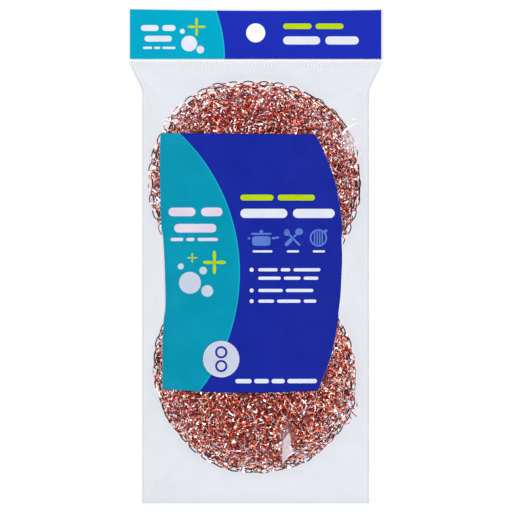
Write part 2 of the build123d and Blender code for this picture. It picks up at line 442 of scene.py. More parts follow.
# stretches that lie on a scrubber: first and last height, number of places between them
onUpper = bag["shoulder"], upperPlace[0] - bag["upperReach"], 14
onLower = lowerPlace[0] + bag["lowerReach"], lowerPlace[0] - bag["lowerShare"] * lowerPlace[1], 12
for padPlace, stretch in ((upperPlace, onUpper), (lowerPlace, onLower)):
    for height in np.linspace(*stretch):
        profileHeights.append(height)
        profileDepths.append(bulgeOfPad(*padPlace, height))
bulgeDepth = smoothProfile(profileHeights, profileDepths, bag["bulgeBlur"])
bagHalf = smoothProfile(
    [bagTop + 5, bag["shoulderTop"], bag["shoulder"], bagBottom],
    [bagTopHalf, bagTopHalf, bag["bodyHalf"], bag["bodyHalf"]],
    bag["cornerBlur"],
)


def bulgeShare(x, z):
    # half ellipse across the bag, drawn down to the weld at both sides
    share = np.clip(np.abs(x) / (bagHalf(z) - bag["weld"]), 0, 1)
    return np.sqrt(1 - share ** 2) * (1 - share ** bag["edgePull"])


def filmBulge(x, z):
    return bulgeDepth(z) * bulgeShare(x, z)


# Creases in the front film: start, end, half width, height, haze; the haze is milky white, a painted
# highlight, partly the whitening of creased film
frontCreases = (
    ((34.2, -40.6), (36.4, -37.7), 0.50, 0.30, 0.25),
    ((36.4, -37.7), (40.9, -35.5), 0.44, 0.30, 0.25),
    ((38.1, -33.9), (40.1, -34.7), 0.30, 0.20, 0.60),
    ((38.9, -44.6), (41.3, -42.6), 0.36, 0.25, 0.80),
    ((40.2, -48.5), (42.0, -47.0), 0.36, 0.20, 0.90),
    ((36.0, -42.6), (38.6, -41.4), 0.40, 0.10, 0.35),
    ((38.9, -25.6), (44.0, -20.9), 0.55, 0.20, 0.06),
    ((40.9, -18.2), (45.2, -16.2), 0.50, 0.15, 0.05),
    ((-4.2, -175.4), (-3.2, -177.7), 0.35, 0.25, 0.40),
    ((-34.0, -169.4), (-24.5, -167.9), 0.60, 0.12, 0.03),
    ((25.5, -166.3), (29.5, -168.3), 0.60, 0.12, 0.03),
    ((40.5, -176.9), (44.0, -173.8), 0.60, 0.15, 0.04),
    ((34.2, -164.3), (41.3, -166.3), 0.60, 0.15, 0.04),
    ((-48.0, -21.0), (-38.5, -33.5), 0.80, 0.15, 0.02),
    ((-47.0, -15.5), (-30.0, -21.5), 0.90, 0.15, 0.02),
    ((15.0, -165.5), (20.5, -166.2), 0.45, 0.20, 0.25),
)
# Sharp folds in the front film, and a leaf of it that has folded over on itself low on the front; the folds
# carry a painted highlight in white mirror finish, the leaf a painted glare in milky white, partly the
# whitening of folded film
filmFolds = {
    # width and points of each fold
    "lines": (
        (0.52, ((34.2, -40.6), (34.6, -39.4), (35.5, -38.2), (37.5, -36.7), (40.4, -35.5))),
        (0.34, ((40.0, -49.2), (40.9, -47.9), (41.9, -47.3))),
        (0.30, ((39.2, -44.4), (40.3, -43.3), (41.2, -42.9))),
        (0.26, ((37.7, -34.3), (38.6, -34.0), (39.9, -34.6))),
        (0.34, ((12.9, -157.5), (11.2, -160.3), (10.7, -163.0), (10.3, -167.8))),
        (0.30, ((10.6, -169.8), (11.9, -167.6), (13.2, -166.3), (15.3, -165.1), (17.6, -164.9))),
    ),
    "leafLeft": ((-157.5, 12.9), (-160.3, 11.2), (-163.0, 10.7), (-167.8, 10.3), (-169.7, 10.6)),
    "leafRight": ((-157.5, 13.0), (-158.6, 13.6), (-162.0, 13.8), (-165.1, 15.2), (-166.3, 13.2),
                  (-167.6, 11.9), (-169.7, 10.7)),
    "leafGlare": 0.66,
    "ridge": 0.10,  # height along the middle of a fold
    "lift": 0.03,
    "gap": 0.05,
}
hazePatches = (
    # centre, half widths, haze, how milky; milky haze is a painted highlight of glare
    ((37.5, -43.3), (3.1, 4.3), 0.38, 1),
    ((12.0, -159.0), (3.0, 4.6), 0.14, 1),
    ((-38.0, -181.0), (9.0, 5.5), 0.07, 0),
    ((-35.0, -166.0), (14.0, 17.0), 0.03, 0),
    ((0.0, -184.5), (46.0, 3.4), 0.05, 0),
)
# Taut folds that run towards the scrubbers: corner they start from, reach, number of folds
cornerFolds = ((46, -17, 24, 17), (-46, -17, 24, 15), (44, -184, 26, 13), (-44, -184, 26, 15))
filmWaves = {
    # random source, height of the fine and of the broad wrinkles
    "front": (np.random.default_rng(21), 0.16, 0.30),
    "back": (np.random.default_rng(22), 0.22, 0.45),
}
film = {
    "columns": 184,
    "marginColumns": 4,
    "rows": 400,
    "broadWave": 26,
    "fineWave": 8,
    # painted shade: haze that rises and falls with the fine wrinkles and the taut folds, so that they show as
    # darker lines
    "wrinkleShade": 0.012,
    "foldStart": 9,  # how far from its corner a taut fold is strongest
    "foldHeight": 0.16,
    "foldShade": 0.010,
    "mostLift": 0.25,  # the frame's film is the outermost
    "skin": 0.1,  # from the bulge out to the film where nothing lifts it
    "bottomFade": 4,  # stretches over which the wrinkles end at the bottom and at the top
    "topFade": 3,
    "haze": 0.03,
    "taut": 0.012,  # haze where it lies on a scrubber
    "tautFade": 6,
    "weldHaze": 0.22,
    "weldReach": 0.55,
    "bottomHaze": 0.10,
    "bottomReach": 0.9,
    # painted shade: darker haze in the film beside a scrubber's rim
    "padShade": 0.055,  # faint shade in the film beside a scrubber's rim
    "padShadeReach": 1.6,
    "padShadeInside": 0.8,
    "mostHaze": 0.9,
}
filmBroad, filmFine = {}, {}
for side, (random, fineHeight, broadHeight) in filmWaves.items():
    filmBroad[side] = (makeWaves(random, film["broadWave"]), broadHeight)
    filmFine[side] = (makeWaves(random, film["fineWave"]), fineHeight)


def segmentReach(x, z, start, end):
    # distance to a segment, and how far along it, for fading the ends
    start, end = np.array(start), np.array(end)
    along = end - start
    share = ((x - start[0]) * along[0] + (z - start[1]) * along[1]) / (along @ along)
    near = np.clip(share, 0, 1)
    away = np.hypot(x - start[0] - near * along[0], z - start[1] - near * along[1])
    return away, near


def filmMarks(x, z, side):
    # outward height of the wrinkles, the thin haze that they bring as painted shade along them, and the white
    # haze of the creases and patches, a painted highlight
    flat = np.stack([x, np.zeros_like(x), z], axis=-1)
    broad, broadHeight = filmBroad[side]
    fine, fineHeight = filmFine[side]
    lift = broadHeight * broad(flat) + fineHeight * fine(flat) ** 2 * 0.5
    # painted shade along the wrinkles and folds
    haze = film["wrinkleShade"] * fine(flat)
    for cornerX, cornerZ, reach, folds in cornerFolds:
        away = np.hypot(x - cornerX, z - cornerZ)
        angle = np.arctan2(z - cornerZ, x - cornerX)
        strength = np.exp(-((away - film["foldStart"]) / reach * 2.2) ** 2)
        fan = np.sin(angle * folds + 0.15 * away) * strength
        lift = lift + film["foldHeight"] * fan
        haze = haze + film["foldShade"] * fan
    # painted highlight: white of the creases and glare patches
    white = np.zeros_like(x)
    if side == "front":
        for start, end, width, height, cloud in frontCreases:
            away, near = segmentReach(x, z, start, end)
            ridge = np.exp(-((away / width) ** 2)) * np.sin(math.pi * np.clip(near, 0.06, 0.94)) ** 0.5
            lift = lift + height * ridge
            white = white + cloud * ridge
        for (middleX, middleZ), (reachX, reachZ), cloud, sheenShare in hazePatches:
            away = ((x - middleX) / reachX) ** 2 + ((z - middleZ) / reachZ) ** 2
            patch = cloud * np.exp(-(away ** 2)) * (1 + 0.45 * sheenShare * fine(flat * 6))
            white = white + sheenShare * patch
            haze = haze + (1 - sheenShare) * patch
    return lift, haze, white


def skinY(x, z, side="front", gap=0.0):
    # the film's place across the pack, out from the middle plane by gap more
    fade = bulgeShare(x, z) * np.clip((z - bagBottom - bag["weld"]) / film["bottomFade"], 0, 1)
    fade = fade * np.clip((bagTop - z) / film["topFade"], 0, 1)
    most = film["mostLift"]
    lift = np.minimum(filmMarks(x, z, side)[0], most)
    outward = filmBulge(x, z) + lift * fade - most * fade + film["skin"] + gap
    return outward if side == "back" else -outward


def buildFilm(side):
    heights = np.linspace(bagTop, bagBottom, film["rows"])
    inner = bagHalf(heights) - bag["weld"]
    turn = np.linspace(-math.pi / 2, math.pi / 2, film["columns"])
    body = inner[:, None] * np.sin(turn)[None, :]
    steps = np.linspace(1, 0, film["marginColumns"], endpoint=False)[None, :] * bag["weld"]
    x = np.hstack([-inner[:, None] - steps, body, inner[:, None] + steps[:, ::-1]])
    z = np.repeat(heights[:, None], x.shape[1], axis=1)
    y = skinY(x, z, side)
    _, haze, white = filmMarks(x, z, side)
    toEdge = bagHalf(z) - np.abs(x)
    haze = film["haze"] + haze
    for centre, radius in bag["padPlaces"].values():
        onPad = np.clip((radius - np.hypot(x, z - centre)) / film["tautFade"], 0, 1)
        haze = haze - (film["haze"] - film["taut"]) * onPad
    haze = haze + film["weldHaze"] * np.exp(-((toEdge / film["weldReach"]) ** 2))
    # painted shade beside each scrubber's rim
    for centre, radius in bag["padPlaces"].values():
        off = np.hypot(x, z - centre) - radius
        outside = np.exp(-np.abs(off) / film["padShadeReach"])
        inside = np.exp(-((off / film["padShadeInside"]) ** 2))
        haze = haze + film["padShade"] * np.where(off > 0, outside, inside)
    haze = haze + film["bottomHaze"] * np.exp(-(((z - bagBottom) / film["bottomReach"]) ** 2))
    haze = np.clip(haze, film["taut"], None) + white
    faces = gridFaces(*x.shape)
    if side == "back":
        faces = faces[:, ::-1]
    points = np.stack([x, y, z], axis=-1)
    mesh = makeMesh(f"{side}_film_sheet", points, faces, [filmSkin],
                    marks={"filmHaze": np.clip(haze, 0, film["mostHaze"]), "filmSheen": white / haze})
    piece = addPiece(mesh, "bag", "clear_film", f"{side}_film")
    flatArea = float(np.mean(2 * bagHalf(heights))) * (bagTop - bagBottom) * mm * mm


filmSkin = filmFinish("clear bag film")
buildFilm("front")
buildFilm("back")


def smoothLine(values, share):
    # curve through the values, at places counted from the first
    whole = np.clip(share.astype(int), 0, len(values) - 2)
    part = share - whole
    padded = np.concatenate([[2 * values[0] - values[1]], values, [2 * values[-1] - values[-2]]])
    before, start, end, after = (padded[whole + step] for step in range(4))
    return 0.5 * (2 * start + (end - before) * part + (2 * before - 5 * start + 4 * end - after) * part ** 2
                  + (3 * start - before - 3 * end + after) * part ** 3)


def smoothPath(points, perPoint):
    points = np.array(points, dtype=float)
    share = np.linspace(0, len(points) - 1, perPoint * len(points))
    return [smoothLine(points[:, axis], share) for axis in (0, 1)]


def shineFinish(name):
    # painted highlight: edge of a fold in a white mirror finish, that mirrors the light around it as a white
    # line
    finish = newFinish(name)
    tone = finish.mix(finish.uneven(400, 2, 0, 1), (0.93, 0.94, 0.97, 1.0), (1.0, 1.0, 1.0, 1.0))
    finish.feed(finish.shader, {"Base Color": tone, "Metallic": 1.0, "Roughness": 0.3})
    return finish.owner


def buildFolds():
    values = filmFolds
    across = np.linspace(-1, 1, 5)
    grids = []
    for width, points in values["lines"]:
        x, z = (line[:, None] for line in smoothPath(points, 14))
        half = width / 2 * np.sin(math.pi * np.linspace(0.03, 0.97, len(x)))[:, None] ** 0.5
        slopeX, slopeZ = np.gradient(x, axis=0), np.gradient(z, axis=0)
        size = np.hypot(slopeX, slopeZ)
        height = values["ridge"] * (1 - across ** 2) * np.ones_like(x) + values["lift"]
        grids.append((x - slopeZ / size * half * across, z + slopeX / size * half * across, height, 0))
    heights = np.linspace(values["leafLeft"][0][0], values["leafLeft"][-1][0], 50)
    left, right = (np.interp(-heights, [-height for height, x in side], [x for height, x in side])
                   for side in (values["leafLeft"], values["leafRight"]))
    steps = np.linspace(0, 1, 12)
    x = left[:, None] + (right - left)[:, None] * steps
    grids.append((x, np.repeat(heights[:, None], len(steps), axis=1), np.zeros_like(x), 1))
    parts, kinds = [], []
    for x, z, height, kind in grids:
        points = np.stack([x, skinY(x, z, gap=values["gap"] + height), z], axis=-1).reshape(-1, 3)
        parts.append((points, gridFaces(*x.shape)))
        kinds.append(np.full(len(parts[-1][1]), kind))
    points, faces = joinGrids(parts)
    # painted glare: the leaf hazy and all milky white
    marks = {"filmHaze": np.full(len(points), values["leafGlare"]), "filmSheen": np.ones(len(points))}
    finishes = [shineFinish("fold shine"), filmSkin]
    mesh = makeMesh("front_film_folds", points, faces, finishes, np.concatenate(kinds), marks=marks)
    addPiece(mesh, "bag", "clear_film")


buildFolds()
print("bag films built")


# Label: print on the front film, between two curved edges, with an arc between its fields
def circleThrough(first, second, third):
    (ax, az), (bx, bz), (cx, cz) = first, second, third
    spread = 2 * (ax * (bz - cz) + bx * (cz - az) + cx * (az - bz))
    squares = ax * ax + az * az, bx * bx + bz * bz, cx * cx + cz * cz
    x = (squares[0] * (bz - cz) + squares[1] * (cz - az) + squares[2] * (az - bz)) / spread
    z = (squares[0] * (cx - bx) + squares[1] * (ax - cx) + squares[2] * (bx - ax)) / spread
    return x, z, math.hypot(ax - x, az - z)


label = {
    # height and place of points on the two side edges
    "leftEdge": ((-39.6, -37.4), (-46, -37.7), (-58, -37.7), (-73, -37.3), (-89, -36.3), (-105, -35.8),
                 (-121, -36.6), (-140.2, -36.7)),
    "rightEdge": ((-39.6, 23.4), (-46, 26.8), (-58, 31.4), (-73, 33.9), (-89, 34.5), (-105, 33.7),
                  (-121, 31.1), (-131, 28.4), (-140.2, 24.5)),
    "edgeBlur": 2.5,
    "top": -39.6,
    "bottom": -140.2,
    "bottomSag": 1.3,
    "sagHalf": 31,  # from the middle to where the sag ends
    "topSlope": 0.010,
    "edgeWidth": 0.42,  # pale margin, only where the label is clear of the scrubbers
    "edgeSpan": (-77.5, -112.5),
    "edgeFade": 3,
    "edgeLeast": 0.02,
    "fieldTop": (-29.9, -39.6),
    "fieldMiddle": (-6.2, -93.4),
    "fieldBottom": (-22.1, -140.2),
    "lineWidth": 0.45,
    "gap": 0.05,
    "thickness": 0.08,
    "rows": 150,
    "columns": (2, 34, 2, 62, 2),  # in the left edge, first field, line, second field and right edge
    "reachOn": 8,  # how far the end stretches run on past the corners
}


def sideEdge(points, heights):
    # the end stretches run on in line, so that blurring keeps the corners
    places = sorted(points)
    low, high = places[0], places[-1]
    slopes = [(b[1] - a[1]) / (b[0] - a[0]) for a, b in ((places[0], places[1]), (places[-2], places[-1]))]
    on = label["reachOn"]
    places = [(low[0] - on, low[1] - on * slopes[0])] + places + [(high[0] + on, high[1] + on * slopes[1])]
    return smoothProfile([z for z, x in places], [x for z, x in places], label["edgeBlur"])(heights)


def buildLabel():
    shares = np.linspace(0, 1, label["rows"])
    centreX, centreZ, radius = circleThrough(label["fieldTop"], label["fieldMiddle"], label["fieldBottom"])
    heights = label["top"] + (label["bottom"] - label["top"]) * shares
    left = sideEdge(label["leftEdge"], heights)
    right = sideEdge(label["rightEdge"], heights)
    field = centreX + np.sqrt(radius ** 2 - (heights - centreZ) ** 2)
    edgeTop, edgeBottom = label["edgeSpan"]
    fade = label["edgeFade"]
    margin = np.clip((edgeTop - heights) / fade, 0, 1) * np.clip((heights - edgeBottom) / fade, 0, 1)
    margin = label["edgeLeast"] + label["edgeWidth"] * margin
    fences = [left, left + margin, field - label["lineWidth"], field, right - margin, right]
    columns, finishes = [], []
    for index, count in enumerate(label["columns"]):
        last = index == len(label["columns"]) - 1
        steps = np.linspace(0, 1, count + 1)[:None if last else -1]
        columns.append(fences[index][:, None] + (fences[index + 1] - fences[index])[:, None] * steps)
        finishes += [index] * count
    x = np.hstack(columns)
    sag = label["bottomSag"] * (1 - ((x - x.mean()) / label["sagHalf"]) ** 2) * shares[:, None] ** 3
    slant = label["topSlope"] * (x - x[0, 0]) * (1 - shares[:, None])
    z = heights[:, None] - np.clip(sag, 0, None) - slant
    rows, count = x.shape
    front = np.stack([x, skinY(x, z, gap=label["gap"] + label["thickness"]), z], axis=-1)
    back = np.stack([x, skinY(x, z, gap=label["gap"]), z], axis=-1)
    quads = gridFaces(rows, count)
    points, faces = joinGrids([(front.reshape(-1, 3), quads), (back.reshape(-1, 3), quads[:, ::-1])])
    rim = np.concatenate([
        np.arange(count), np.arange(1, rows) * count + count - 1,
        (rows - 1) * count + np.arange(count - 2, -1, -1), np.arange(rows - 2, 0, -1) * count,
    ])
    after = np.roll(rim, -1)
    rimFaces = np.stack([after, rim, rim + rows * count, after + rows * count], axis=1)
    reverse = np.full(len(quads), len(labelInks) - 1)
    faceFinish = np.concatenate([np.tile(finishes, rows - 1), reverse, np.zeros(len(rimFaces))])
    mesh = makeMesh("label_sheet", points, np.concatenate([faces, rimFaces]), labelInks, faceFinish)
    addPiece(mesh, "bag", "label_print", "front_label")


buildLabel()
print("label built")


# Flat shapes of ink, laid on the label or on the header
def stroke(path, width):
    # ribbon along a path with round ends
    path = np.array(path, dtype=float)
    lengths = np.concatenate([[0], np.cumsum(np.hypot(*np.diff(path, axis=0).T))])
    total, radius = lengths[-1], width / 2
    cap = radius * (1 - np.cos(np.linspace(0.12, math.pi / 2, 6)))
    middle = np.linspace(radius, total - radius, max(int(total / 0.8), 3))
    places = np.concatenate([cap, middle[1:-1], total - cap[::-1]])
    toEnd = np.clip(radius - np.minimum(places, total - places), 0, None)
    halves = np.sqrt(np.clip(radius ** 2 - toEnd ** 2, 1e-6, None))
    centre = np.stack([np.interp(places, lengths, path[:, axis]) for axis in (0, 1)], axis=1)
    ahead = np.gradient(centre, axis=0)
    ahead /= np.linalg.norm(ahead, axis=1, keepdims=True)
    sideways = np.stack([-ahead[:, 1], ahead[:, 0]], axis=1)
    across = np.linspace(-1, 1, 5)
    points = centre[:, None] + sideways[:, None] * halves[:, None, None] * across[None, :, None]
    return points.reshape(-1, 2), gridFaces(len(places), len(across))


def blob(x, z, wide, tall=None, outline=None, steps=13):
    # round patch without a pole; outline reshapes it by direction
    side = np.linspace(-1, 1, steps)
    u, v = np.meshgrid(side, side, indexing="ij")
    roundX, roundZ = u * np.sqrt(1 - v * v / 2), v * np.sqrt(1 - u * u / 2)
    if outline is not None:
        reach = outline(np.arctan2(roundZ, roundX))
        roundX, roundZ = roundX * reach, roundZ * reach
    points = np.stack([x + wide * roundX, z + (tall or wide) * roundZ], axis=-1)
    return points.reshape(-1, 2), gridFaces(steps, steps)[:, ::-1]


def ring(x, z, radius, width):
    turn = np.radians(np.linspace(0, 360, 44))
    reach = radius + width * np.linspace(-0.5, 0.5, 4)
    points = np.stack([x + np.cos(turn)[:, None] * reach, z + np.sin(turn)[:, None] * reach], axis=-1)
    return points.reshape(-1, 2), gridFaces(len(turn), len(reach))


def sparkle(x, z, radius):
    # four slim points
    def outline(angle):
        return 0.16 + 0.84 * np.abs(np.cos(2 * angle)) ** 5
    return blob(x, z, radius, outline=outline, steps=33)


def bars(z, height, *spans):
    # rounded bars in a row, from start to end
    return [stroke([(start, z), (end, z)], height) for start, end in spans]


def addInk(name, ink, shapes, lift=0.05):
    flat, quads = joinGrids(shapes)
    x, z = flat[:, 0], flat[:, 1]
    onHeader = name.startswith("header")
    if onHeader:
        y = np.full_like(x, headerLow[1] - lift)
    else:
        y = skinY(x, z, gap=label["gap"] + label["thickness"] + lift)
    # faces look out of the front
    a, b, c = (flat[quads[:, index]] for index in (0, 1, 2))
    area = (b[:, 0] - a[:, 0]) * (c[:, 1] - a[:, 1]) - (b[:, 1] - a[:, 1]) * (c[:, 0] - a[:, 0])
    quads = np.where((area < 0)[:, None], quads[:, ::-1], quads)
    mesh = makeMesh(name, np.stack([x, y, z], axis=-1), quads, [inks[ink]])
    addPiece(mesh, "header" if onHeader else "bag", "printed_film" if onHeader else "label_print")


def squarish(angle):
    # outline of a blob with full corners
    return 1 / (np.abs(np.cos(angle)) ** 5 + np.abs(np.sin(angle)) ** 5) ** 0.2


# What stands on the label: ink and shapes of each piece, places across and up in millimetres
labelPrint = {
    "label_title_bars": ("lime", bars(-65.0, 2.3, (-6.0, 7.0), (8.6, 23.2))),
    "label_name_bars": ("pale", bars(-71.2, 3.6, (-6.0, 12.4), (14.6, 31.0))),
    "label_left_bars": ("lilac", [
        *bars(-70.6, 3.4, (-34.2, -23.6), (-21.4, -13.0)),
        *bars(-77.0, 3.4, (-32.0, -15.4)),
        *bars(-81.4, 1.3, (-33.4, -28.4), (-27.2, -24.0), (-22.8, -14.8)),
    ]),
    "label_list_bars": ("pale", [
        *bars(-93.3, 1.25, (1.0, 8.6), (9.8, 13.6), (14.8, 25.4)),
        *bars(-96.6, 1.25, (1.0, 9.8), (11.0, 17.6), (18.8, 24.6)),
        *bars(-101.4, 1.25, (1.0, 10.6), (11.8, 22.6)),
        *bars(-105.6, 1.25, (1.0, 7.2), (8.4, 17.6), (18.8, 23.8)),
        *(blob(-1.6, z, 0.8, steps=7) for z in (-93.3, -101.4, -105.6)),
        *bars(-86.1, 0.85, (-1.2, 6.6), (12.2, 17.0), (22.4, 27.2)),
        *bars(-136.9, 1.7, (-8.0, -1.6), (-0.6, 5.2), (6.2, 11.4), (12.4, 24.0)),
    ]),
    # bubbles and sparkles in the teal field
    "label_bubbles": ("badge", [
        blob(-25.8, -98.4, 4.3), blob(-19.0, -101.6, 2.3), blob(-20.6, -93.6, 1.5), blob(-29.4, -92.0, 1.2),
    ]),
    "label_sparkle": ("lime", [sparkle(-16.2, -90.4, 4.6), sparkle(-24.9, -88.6, 2.0)]),
    # disc with two small rings, one for each scrubber
    "label_badge": ("badge", [blob(-13.5, -128.3, 7.0, steps=21)]),
    "label_badge_edge": ("lilac", [ring(-13.5, -128.3, 6.9, 0.4)], 0.09),
    "label_badge_rings": ("navy", [ring(-13.5, -125.6, 2.0, 0.8), ring(-13.5, -131.0, 2.0, 0.8)], 0.09),
    "label_pictures": ("sky", [
        # lidded pot
        blob(2.2, -82.0, 3.6, 1.9, squarish),
        stroke([(-1.8, -79.2), (6.2, -79.2)], 0.7),
        blob(2.2, -78.3, 0.75, 0.6, steps=7),
        stroke([(-3.2, -81.0), (-2.0, -81.0)], 0.7),
        stroke([(6.2, -81.0), (9.2, -80.6)], 0.8),
        # crossed brush and scraper
        stroke([(11.6, -78.0), (17.4, -83.8)], 0.75),
        stroke([(17.4, -78.0), (14.9, -80.5)], 0.75),
        stroke([(14.2, -81.2), (11.6, -83.8)], 1.5),
        blob(17.0, -78.4, 1.5, 1.3),
        blob(12.2, -78.7, 1.1, 1.3),
        # round rack
        ring(24.6, -80.8, 3.1, 0.65),
        *(stroke([(24.6 + shift, -80.8 - reach), (24.6 + shift, -80.8 + reach)], 0.5)
          for shift, reach in ((-1.5, 2.3), (-0.5, 2.7), (0.5, 2.7), (1.5, 2.3))),
        stroke([(26.9, -78.6), (28.0, -77.6)], 1.1),
    ]),
}
for name, values in labelPrint.items():
    addInk(name, *values)

# What stands on the header; a pale scallop, a painted highlight, on its lower edge at each rib of the crimp
scallop = {"count": 38, "sink": 0.05, "edge": 0.02, "wide": 0.27, "tall": 0.80}


def edgeScallops():
    shapes = []
    for x in np.arange(-scallop["count"], scallop["count"]) * crimpRibs["pitch"] + crimpRibs["pitch"] / 4:
        flat, quads = blob(x, headerLow[2] - scallop["sink"], scallop["wide"], scallop["tall"], steps=7)
        flat[:, 1] = np.maximum(flat[:, 1], headerLow[2] - scallop["edge"])
        shapes.append((flat, quads))
    return shapes


headerShapes = {
    "header_title_bars": ("lime", bars(2.6, 2.2, (10.8, 22.0), (23.6, 34.6))),
    "header_name_bars": ("pale", bars(-3.0, 3.2, (10.8, 25.4), (27.4, 40.6))),
    "header_left_bars": ("pale", [
        *bars(1.9, 2.3, (-45.2, -38.2), (-36.8, -31.6)),
        *bars(-2.3, 2.3, (-43.8, -33.0)),
        *bars(-5.9, 0.9, (-44.4, -40.8), (-40.0, -37.6), (-36.8, -31.6)),
        blob(-26.2, -4.2, 3.1),
        blob(-21.8, -6.6, 1.5, steps=9),
        blob(-28.9, 0.6, 1.0, steps=9),
    ]),
    "header_sparkle": ("lime", [sparkle(-23.3, 2.4, 3.6)]),
    "header_edge_scallops": ("glint", edgeScallops(), 0.03),
}
for name, values in headerShapes.items():
    addInk(name, *values)
print("print laid on label and header")


# Header leaves and crimp stay as the frame has them and get their finishes
def dress(node, finish):
    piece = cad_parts[node]
    piece.data.materials.clear()
    piece.data.materials.append(finish)


dress("header_front_panel", headerFinish("header front print"))
dress("header_back_panel", headerFinish("header back print"))
dress("crimp_seal", filmFinish("crimped film", crimpRibs))


# Scrubbers: closed courses of knitted flat wire on nested, flattened shells
knit = {
    "rimStitches": 42,
    "pointsPerStitch": 12,
    "rimWidth": 5.8,  # width of a stitch at the rim and near the gathered centre
    "neckWidth": 3.4,
    "courseStep": 2.25,
    "loopHeight": 1.7,
    "overhang": 0.15,
    "weave": 0.30,
    "width": 0.46,
    "thickness": 0.12,
    "neck": 3.4,  # radius where the tube is gathered
    "dimple": 3.0,
    "dimpleRadius": 7.5,
    "squeeze": 5.0,  # last stretch before the other scrubber, over which the knit gives way
    "filmRoom": 0.85,  # kept between the wires' middles and the front film
    "backRoom": 0.30,  # more of it at the back
    "loopVary": 0.35,
    "courseVary": 0.7,
    "leanVary": 0.4,
    "phaseVary": 0.3,
    "waves": (9, 9, 9, 3.4, 3.4, 3.4, 16),  # three coarse, three fine and one for the whole shell
    "coarse": 0.80,
    "fine": 0.60,
    "shell": 0.45,
    "twistWaves": (2.4, 12),
    "broadTwist": 0.5,
    "rimTwist": 0.4,  # share of the twist that the rim loops keep
    "leastHalf": 0.3,  # the knit isn't pressed thinner than this on either side
}
rimLoops = {
    "morePoints": 6,
    "heightVary": 0.22,
    "spreadVary": 0.15,
    "neckBend": 0.35,  # narrows the foot of a loop
    "placeVary": 0.10,
    "reachVary": 0.25,
    "wander": 0.12,  # slow wandering of the rim, the same for all rows
    "wanderTurns": (5, 8, 13),
    "swayVary": 0.35,
    "sway": 0.25,
    "topLean": 0.35,  # where along a loop its dark top stands, how much that varies, how long it is
    "topVary": 0.6,
    "topAbove": 0.55,
}
looseWire = {
    "place": -1.2,  # across the pack
    "away": 0.12,  # between the way there and the way back
    "sway": 0.22,
    "swayTurns": 9,
    "swayStart": 7,
}
padLayers = (
    # name, inset of the rim, half thickness, node it stands for; the rim loops have rows of their own
    ("outer_sleeve_knit", 0.0, 12.1, "outer_sleeve"),
    ("inner_fold_knit_1", 1.5, 10.4, "inner_fold"),
    ("inner_fold_knit_2", 3.8, 8.2, None),
    ("core_roll_knit", 8.0, 4.8, "core_roll"),
    ("rim_loops", None, None, None),
)
